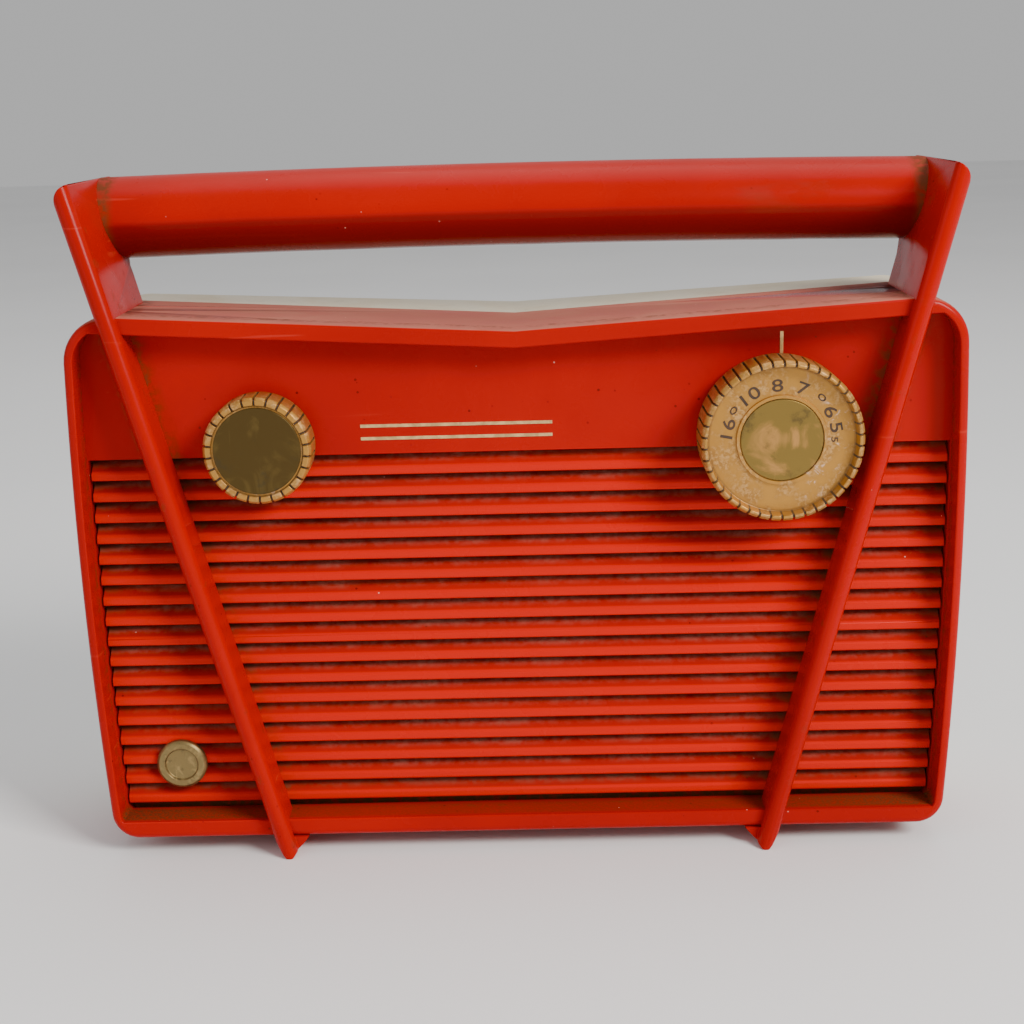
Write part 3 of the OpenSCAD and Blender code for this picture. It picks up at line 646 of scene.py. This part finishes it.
def plain(name, colour, roughness, metallic, scale, spread):
    """A finish with mottled colour, uneven gloss and fine relief, for the works inside."""
    s = Shader(name)
    patch = s.noise(scale, 5, 0.6, 0.3)
    fine = s.noise(scale * 9, 4, 0.6)
    darker = tuple(c * (1 - spread) for c in colour)
    lighter = tuple(min(1.0, c * (1 + spread)) for c in colour)
    shade = s.mix(s.ease(patch, 0.3, 0.7), darker, lighter)
    s.bump(fine, 0.04 * MM, 0.4)
    return s.done(shade, s.ease(patch, 0.3, 0.7, roughness * 0.85, min(1.0, roughness * 1.15)),
                  metallic=metallic)


def cell_jacket():
    """Printed battery jacket with a dark band and bright steel ends."""
    low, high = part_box("battery_1")
    half = (high.x - low.x) / 2
    s = Shader("cell_jacket")
    off = s.sum("SUBTRACT", s.sum("ABSOLUTE", s.x), abs(low.x + high.x) / 2)
    along = s.sum("ABSOLUTE", off)
    patch = s.noise(60, 4, 0.6)
    shade = s.mix(s.ease(patch, 0.3, 0.7), JACKET_RED, JACKET_BRIGHT)
    band = s.ease(off, half - 13.2 * MM, half - 13 * MM)
    shade = s.mix(band, shade, JACKET_BAND)
    steel = s.ease(along, half - 3.2 * MM, half - 3 * MM)
    shade = s.mix(steel, shade, JACKET_STEEL)
    s.bump(s.sum("ADD", steel, s.both(s.noise(700, 3), 0.1)), 0.1 * MM, 0.5)
    return s.done(shade, s.ease(patch, 0.3, 0.7, 0.26, 0.34), metallic=steel)


# Each finish: colour, roughness, how metallic, how fine its mottling is, how far that goes
INNER_FINISHES = {
    "bright_steel": ((0.50, 0.50, 0.51), 0.30, 1.0, 200, 0.12),
    "zinc_steel": ((0.46, 0.44, 0.36), 0.38, 1.0, 60, 0.18),
    "aluminium_vanes": ((0.62, 0.62, 0.60), 0.32, 1.0, 150, 0.08),
    "glazed_ceramic": ((0.82, 0.78, 0.70), 0.18, 0.0, 90, 0.08),
    "black_bakelite": ((0.022, 0.020, 0.019), 0.34, 0.0, 90, 0.30),
    "phenolic_board": ((0.26, 0.13, 0.045), 0.42, 0.0, 40, 0.22),
    "pale_nylon": ((0.70, 0.66, 0.55), 0.45, 0.0, 90, 0.10),
    "can_aluminium": ((0.66, 0.67, 0.68), 0.28, 1.0, 170, 0.10),
    "blue_sleeve": ((0.02, 0.035, 0.12), 0.30, 0.0, 120, 0.20),
    "varnished_laminations": ((0.10, 0.085, 0.075), 0.48, 0.4, 220, 0.30),
    "dark_ferrite": ((0.022, 0.020, 0.019), 0.62, 0.0, 260, 0.25),
    "enamelled_copper": ((0.48, 0.18, 0.06), 0.30, 0.9, 300, 0.22),
    "hardboard_brown": ((0.13, 0.065, 0.03), 0.80, 0.0, 160, 0.30),
    "cone_felt": ((0.030, 0.025, 0.022), 0.90, 0.0, 240, 0.30),
    "grey_magnet": ((0.14, 0.14, 0.145), 0.42, 0.7, 140, 0.20),
    "black_rubber": ((0.018, 0.018, 0.018), 0.75, 0.0, 220, 0.25),
    "speaker_cloth": ((0.020, 0.013, 0.010), 0.92, 0.0, 300, 0.30),
    "aged_nickel": ((0.55, 0.50, 0.42), 0.34, 1.0, 130, 0.15),
    "gold_foil": ((0.72, 0.46, 0.20), 0.36, 0.85, 400, 0.25),
}
INNER_NODES = {
    "bright_steel": ("handle_rod", "arm_screws", "volume_nut", "chassis_screws", "board_screws",
                     "speaker_screws", "battery_contacts", "volume_shaft"),
    "zinc_steel": ("chassis_plate", "speaker_basket", "volume_control", "capacitor_frame"),
    "aluminium_vanes": ("capacitor_rotor", "capacitor_stator"),
    "glazed_ceramic": ("stator_insulators",),
    "black_bakelite": ("power_switch", "battery_tray_left", "battery_tray_right"),
    "phenolic_board": ("circuit_board",),
    "pale_nylon": ("board_spacers", "antenna_holders"),
    "can_aluminium": ("if_can_1", "if_can_2", "if_can_3", "transistors"),
    "blue_sleeve": ("electrolytics",),
    "varnished_laminations": ("driver_transformer", "output_transformer"),
    "dark_ferrite": ("ferrite_rod",),
    "enamelled_copper": ("antenna_coil",),
    "hardboard_brown": ("speaker_baffle",),
    "cone_felt": ("speaker_cone", "speaker_dust_cap"),
    "grey_magnet": ("speaker_magnet",),
    "black_rubber": ("rear_feet",),
    "speaker_cloth": ("grille_cloth",),
    "aged_nickel": ("back_fastener_left", "back_fastener_right"),
    "gold_foil": ("index_line", "gold_lines"),
}


# ---- operators ----

class RADIO_OT_front_shell(bpy.types.Operator):
    """Rounds the cabinet's rim and gives it the red finish"""
    bl_idname = "radio.front_shell"
    bl_label = "Front shell"

    def execute(self, context):
        sizes = context.scene.radio_sizes
        brow_reach = 112 * MM
        notch_reach = 116 * MM
        side_reach = 104 * MM
        middle_z = (SHELL_LOW.z + SHELL_HIGH.z) / 2

        def radius(place, normal):
            """Outer rim, brow and inner rim; nothing in the notches for the rails."""
            faces_sideways = abs(normal.z) < 0.5
            faces_up = normal.z > 0.9
            faces_in = normal.x * place.x + normal.z * (place.z - middle_z) < 0
            if faces_sideways and abs(place.x) < notch_reach:
                return 0.0
            if faces_in:
                return sizes.soft_edge
            if faces_up and abs(place.x) < brow_reach:
                return sizes.brow_round
            return sizes.rim_round

        def side_wall(face):
            """Picks the walls at the cabinet's two ends."""
            return abs(face.normal.y) < WALL_TILT and abs(face.center.x) > side_reach

        piece = merged_copy("front_shell", 0.2, joins=side_wall)
        roll_front(piece, RIM_Y, radius, (sizes.rim_round, sizes.brow_round, sizes.soft_edge))
        finish_piece(piece, "front_shell_skin", "cabinet", "red_plastic",
                     red_shell(), "front_shell")
        return {"FINISHED"}


class RADIO_OT_louvres(bpy.types.Operator):
    """Softens the lips of the slats and settles dust on their slopes"""
    bl_idname = "radio.louvres"
    bl_label = "Louvres"

    def execute(self, context):
        width = 0.35 * MM
        lip = 0.6 * width
        lip_depth = 1.2 * MM

        def radius(mid, run):
            along = abs(run.x) > 0.98 * run.length
            return lip if along and mid.y < PANEL_Y + lip_depth else 0.0

        piece = rounded("louvre_grille", width, radius, segments=2)
        finish_piece(piece, "louvre_slats", "cabinet", "red_plastic", red_louvres(),
                     "louvre_grille")
        return {"FINISHED"}


class RADIO_OT_arms(bpy.types.Operator):
    """Rounds the slanted arms with their rails and pointed feet"""
    bl_idname = "radio.arms"
    bl_label = "Arms"

    def execute(self, context):
        sizes = context.scene.radio_sizes
        finish = red_arms()
        spare = 1 * MM
        foot_top = 4 * MM

        def radius(mid, run):
            """The heads most, the rails above the cabinet and the feet a little, the rest not."""
            behind_rail = mid.y > PANEL_Y - spare
            above = mid.z > SHELL_HIGH.z + spare
            if above and behind_rail:
                return sizes.arm_edge
            return sizes.soft_edge if above or mid.z < foot_top else 0.0

        for side in ("left", "right"):
            piece = rounded(side + "_arm", sizes.arm_edge, radius, segments=3)
            finish_piece(piece, side + "_arm_skin", "cabinet", "red_plastic", finish,
                         side + "_arm")
        return {"FINISHED"}


class RADIO_OT_grip(bpy.types.Operator):
    """Spins the bowed hand grip from one soft-nosed section"""
    bl_idname = "radio.grip"
    bl_label = "Hand grip"

    def execute(self, context):
        sizes = context.scene.radio_sizes
        low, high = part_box("handle_bar")
        grip_d = high.y - low.y
        upper_r, lower_r = 0.503 * grip_d, 0.529 * grip_d
        drop = 23.2 * MM  # height of the section
        bow = 5.8  # radius in metres of the grip's slight arch
        half_span = 0.128  # reaches past both arms before the ends are cut
        mid_y = (low.y + high.y) / 2
        heart = high.z - 0.5 * drop
        upper_z, lower_z = high.z - upper_r, high.z - drop + lower_r
        points, steps = 72, 48

        def reach(angle, centre_z, r):
            """Distance from the section's heart to a circle, along an angle."""
            offset = centre_z - heart
            along = offset * math.sin(angle)
            return along + math.sqrt(along * along - offset * offset + r * r)

        deselect()
        bpy.ops.mesh.primitive_circle_add(vertices=points, radius=1.0, fill_type="NOTHING")
        piece = bpy.context.object
        for vertex in piece.data.vertices:
            angle = math.atan2(vertex.co.y, vertex.co.x)
            a, b = reach(angle, upper_z, upper_r), reach(angle, lower_z, lower_r)
            blend = max(0.0, sizes.nose_round - abs(a - b)) / sizes.nose_round
            r = min(a, b) - blend * blend * sizes.nose_round / 4
            vertex.co = (0.0, mid_y + r * math.cos(angle), heart + r * math.sin(angle))
        sweep = 2 * math.asin(half_span / bow)
        centre = Vector((0, mid_y, high.z - bow))
        to_end = Matrix.Rotation(sweep / 2, 4, "Y")
        piece.data.transform(Matrix.Translation(centre) @ to_end @ Matrix.Translation(-centre))
        activate(piece)
        bpy.ops.object.mode_set(mode="EDIT")
        bpy.ops.mesh.select_all(action="SELECT")
        bpy.ops.mesh.spin(steps=steps, angle=sweep, center=centre, axis=(0, 1, 0))
        for side in (-1, 1):
            bpy.ops.mesh.select_all(action="SELECT")
            seat = Vector((side * (FOOT_X - RAIL_HALF / math.cos(LEAN)), 0, 0))
            outside = (side * math.cos(LEAN), 0, -math.sin(LEAN))
            bpy.ops.mesh.bisect(plane_co=seat, plane_no=outside, use_fill=True, clear_outer=True)
        bpy.ops.object.mode_set(mode="OBJECT")
        outward(piece)
        smooth(piece, 50)
        finish_piece(piece, "hand_grip", "cabinet", "red_plastic", red_grip(), "handle_bar")
        return {"FINISHED"}


class RADIO_OT_knobs(bpy.types.Operator):
    """Rounds and gilds the notched knobs"""
    bl_idname = "radio.knobs"
    bl_label = "Knobs"

    def execute(self, context):
        width = 0.22 * MM
        crest = 0.7 * width
        rim_depth = 2.6 * MM
        reach = 8 * MM
        for node, body, centre, rim, count in (
                ("volume_knob", "volume_knob_body", VOLUME, VOLUME_R, 26),
                ("tuning_dial", "tuning_body", DIAL, DIAL_R, 42)):
            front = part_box(node)[0].y

            def radius(mid, run):
                away = math.hypot(mid.x - centre.x, mid.z - centre.z)
                return crest if away > rim - rim_depth and mid.y < front + reach else 0.0

            piece = rounded(node, width, radius, segments=2, least=30)
            finish_piece(piece, node + "_gilt", body, "gold_plastic",
                         gilded(node + "_gold", centre, rim, count), node)
        return {"FINISHED"}


class RADIO_OT_dial_numbers(bpy.types.Operator):
    """Sets the band numbers and two small rings round the dial"""
    bl_idname = "radio.dial_numbers"
    bl_label = "Dial numbers"

    # Each mark: its digits, its angle from the right in degrees, and its size
    marks = (("16", 169, 1.0), ("10", 127, 1.0), ("8", 95.4, 1.0), ("7", 69, 1.0),
             ("6", 30, 1.0), ("5", 12, 1.0), ("5", -1, 0.55))
    rings = (147.5, 47)
    ring_out = 2.2 * MM  # how far outside the digits' circle the rings stand
    widen = 1.4  # the digits are this much wider than the font's
    font_size = 1.37  # size of the font over the height of its digits
    bolder = 0.05 * MM  # each stroke grows by this on both sides
    relief = 0.06 * MM  # half the thickness of a digit
    proud = 0.02 * MM  # how far before the dial's face the marks' middle lies

    def execute(self, context):
        sizes = context.scene.radio_sizes
        ink = plain("dial_ink", NUMBER_INK, 0.5, 0.0, 300, 0.25)
        made = []
        for text, degrees, scale in self.marks:
            deselect()
            bpy.ops.object.text_add()
            mark = bpy.context.object
            mark.data.body = text
            mark.data.align_x = "CENTER"
            mark.data.size = sizes.digit_height * self.font_size * scale
            mark.data.extrude = self.relief
            mark.data.space_character = 1.05
            mark.data.offset = self.bolder * scale
            bpy.ops.object.convert(target="MESH")
            mark = bpy.context.object
            self.stand(mark, degrees, sizes.digit_radius)
            made.append(mark)
        for degrees in self.rings:
            deselect()
            bpy.ops.mesh.primitive_torus_add(major_radius=0.72 * MM, minor_radius=0.18 * MM,
                                             major_segments=28, minor_segments=8)
            ring = bpy.context.object
            self.stand(ring, degrees, sizes.digit_radius + self.ring_out)
            made.append(ring)
        deselect()
        for mark in made:
            mark.select_set(True)
        bpy.context.view_layer.objects.active = made[0]
        bpy.ops.object.join()
        piece = bpy.context.object
        smooth(piece, 30)
        finish_piece(piece, "dial_numbers", "tuning_body", "gold_plastic", ink)
        return {"FINISHED"}

    def stand(self, mark, degrees, radius):
        """Turns a flat mark to face the front, upright on its own radius."""
        spot = math.radians(90 - degrees)
        upright = Matrix.Rotation(math.radians(90), 4, "X")
        outwards = Matrix.Translation((0, 0, radius))
        turned = Matrix.Rotation(spot, 4, "Y")
        centre = Matrix.Translation((DIAL.x, DIAL_FACE_Y - self.proud, DIAL.z))
        widened = Matrix.Diagonal((self.widen, 1, 1, 1))
        mark.data.transform(centre @ turned @ outwards @ upright @ widened)
        mark.matrix_world = Matrix.Identity(4)


class RADIO_OT_insets(bpy.types.Operator):
    """Rounds and ages the brass discs in the knobs and the stud on the louvres"""
    bl_idname = "radio.insets"
    bl_label = "Brass insets"

    def execute(self, context):
        tint = context.scene.radio_colours
        dark = aged_brass("brass_dark", tint.brass_dark, (0.15, 0.095, 0.022), 0.55, 95)
        olive = aged_brass("brass_olive", tint.brass, (0.55, 0.27, 0.075), 0.85, 70)
        stud = aged_brass("brass_stud", (0.24, 0.17, 0.065), (0.45, 0.32, 0.13), 0.6, 260)
        edge = 0.15 * MM
        for node, body, slot, finish in (
                ("volume_knob_disc", "volume_knob_body", "dark_brass", dark),
                ("tuning_dial_disc", "tuning_body", "olive_brass", olive),
                ("brass_badge", "cabinet", "badge_brass", stud)):
            piece = rounded(node, edge, lambda mid, run: edge, segments=2)
            finish_piece(piece, node + "_aged", body, slot, finish, node)
        return {"FINISHED"}


class RADIO_OT_back(bpy.types.Operator):
    """Gives the back cover its yellowed cream finish"""
    bl_idname = "radio.back"
    bl_label = "Back cover"

    def execute(self, context):
        finish_node("back_cover", cream_plastic())
        return {"FINISHED"}


class RADIO_OT_works(bpy.types.Operator):
    """Gives every remaining piece, mostly inside, its own finish"""
    bl_idname = "radio.works"
    bl_label = "Works"

    def execute(self, context):
        for name, nodes in INNER_NODES.items():
            colour, roughness, metallic, scale, spread = INNER_FINISHES[name]
            finish = plain(name, colour, roughness, metallic, scale, spread)
            for node in nodes:
                finish_node(node, finish)
        jacket = cell_jacket()
        for number in range(1, 5):
            finish_node(f"battery_{number}", jacket)
        return {"FINISHED"}


class RADIO_OT_stage(bpy.types.Operator):
    """Sets the pale floor, the soft lights and the camera"""
    bl_idname = "radio.stage"
    bl_label = "Stage"

    def execute(self, context):
        self.floor()
        self.lights()
        self.camera(context)
        return {"FINISHED"}

    def floor(self):
        """A wide pale floor under the feet."""
        deselect()
        bpy.ops.mesh.primitive_plane_add(size=8.0, location=(0, 0, 0))
        floor = bpy.context.object
        floor.name = "stage_floor"
        shader = Shader("pale_floor")
        mottle = shader.ease(shader.noise(3, 2), 0.3, 0.7)
        shade = shader.mix(mottle, (0.83, 0.83, 0.83), (0.86, 0.86, 0.86))
        floor.data.materials.append(shader.done(shade, 0.85))

    def lights(self):
        """An even pale room and three soft lights."""
        world = bpy.data.worlds.new("soft_room")
        world.use_nodes = True
        background = world.node_tree.nodes["Background"]
        background.inputs["Color"].default_value = (1.0, 1.0, 1.0, 1.0)
        background.inputs["Strength"].default_value = 0.5
        bpy.context.scene.world = world
        aim = Vector((0, 0, 0.1))
        # Each light: name, place, width, power in watts, colour
        for name, spot, size, power, warmth in (
                ("key_light", (0.85, -0.80, 0.90), 0.5, 24, (1.0, 0.97, 0.93)),
                ("fill_light", (-1.1, -0.7, 0.5), 1.2, 4, (0.95, 0.97, 1.0)),
                ("top_light", (0.1, 0.3, 1.5), 1.0, 6, (1.0, 1.0, 1.0))):
            deselect()
            bpy.ops.object.light_add(type="AREA", location=spot)
            light = bpy.context.object
            light.name = name
            light.data.shape = "SQUARE"
            light.data.size = size
            light.data.energy = power
            light.data.color = warmth
            light.rotation_euler = (aim - Vector(spot)).to_track_quat("-Z", "Y").to_euler()

    def camera(self, context):
        """A camera slightly above the front, looking a little down."""
        deselect()
        bpy.ops.object.camera_add()
        camera = bpy.context.object
        camera.name = "front_camera"
        right = (0.99962, 0.00840, -0.02614)
        above = (0.02317, 0.25278, 0.96725)
        behind = (0.01474, -0.96749, 0.25249)
        place = Vector((4.795 * MM, PANEL_Y - 445.03 * MM, PANEL_Z + 98.23 * MM))
        turn = Matrix((right, above, behind)).transposed().to_quaternion().to_matrix().to_4x4()
        camera.matrix_world = Matrix.Translation(place) @ turn
        camera.data.sensor_width = 36.0
        camera.data.lens = 56.74
        context.scene.camera = camera


STEPS = (RADIO_OT_stage, RADIO_OT_front_shell, RADIO_OT_louvres, RADIO_OT_arms, RADIO_OT_grip,
         RADIO_OT_knobs, RADIO_OT_dial_numbers, RADIO_OT_insets, RADIO_OT_back, RADIO_OT_works)


class RADIO_PT_panel(bpy.types.Panel):
    """Lists the sizes, the colours and the steps"""
    bl_label = "Portable radio"
    bl_idname = "RADIO_PT_panel"
    bl_space_type = "VIEW_3D"
    bl_region_type = "UI"
    bl_category = "Radio"

    def draw(self, context):
        for group in (context.scene.radio_sizes, context.scene.radio_colours):
            box = self.layout.box()
            for key in group.__annotations__:
                box.prop(group, key)
        for step in STEPS:
            self.layout.operator(step.bl_idname)


CLASSES = (RadioSizes, RadioColours, *STEPS, RADIO_PT_panel)


def register():
    for cls in CLASSES:
        bpy.utils.register_class(cls)
    bpy.types.Scene.radio_sizes = bpy.props.PointerProperty(type=RadioSizes)
    bpy.types.Scene.radio_colours = bpy.props.PointerProperty(type=RadioColours)


def unregister():
    del bpy.types.Scene.radio_colours
    del bpy.types.Scene.radio_sizes
    for cls in reversed(CLASSES):
        bpy.utils.unregister_class(cls)


def main():
    """Runs every step in order."""
    register()
    for step in STEPS:
        group, name = step.bl_idname.split(".")
        getattr(getattr(bpy.ops, group), name)()
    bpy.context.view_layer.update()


if __name__ == "__main__":
    main()
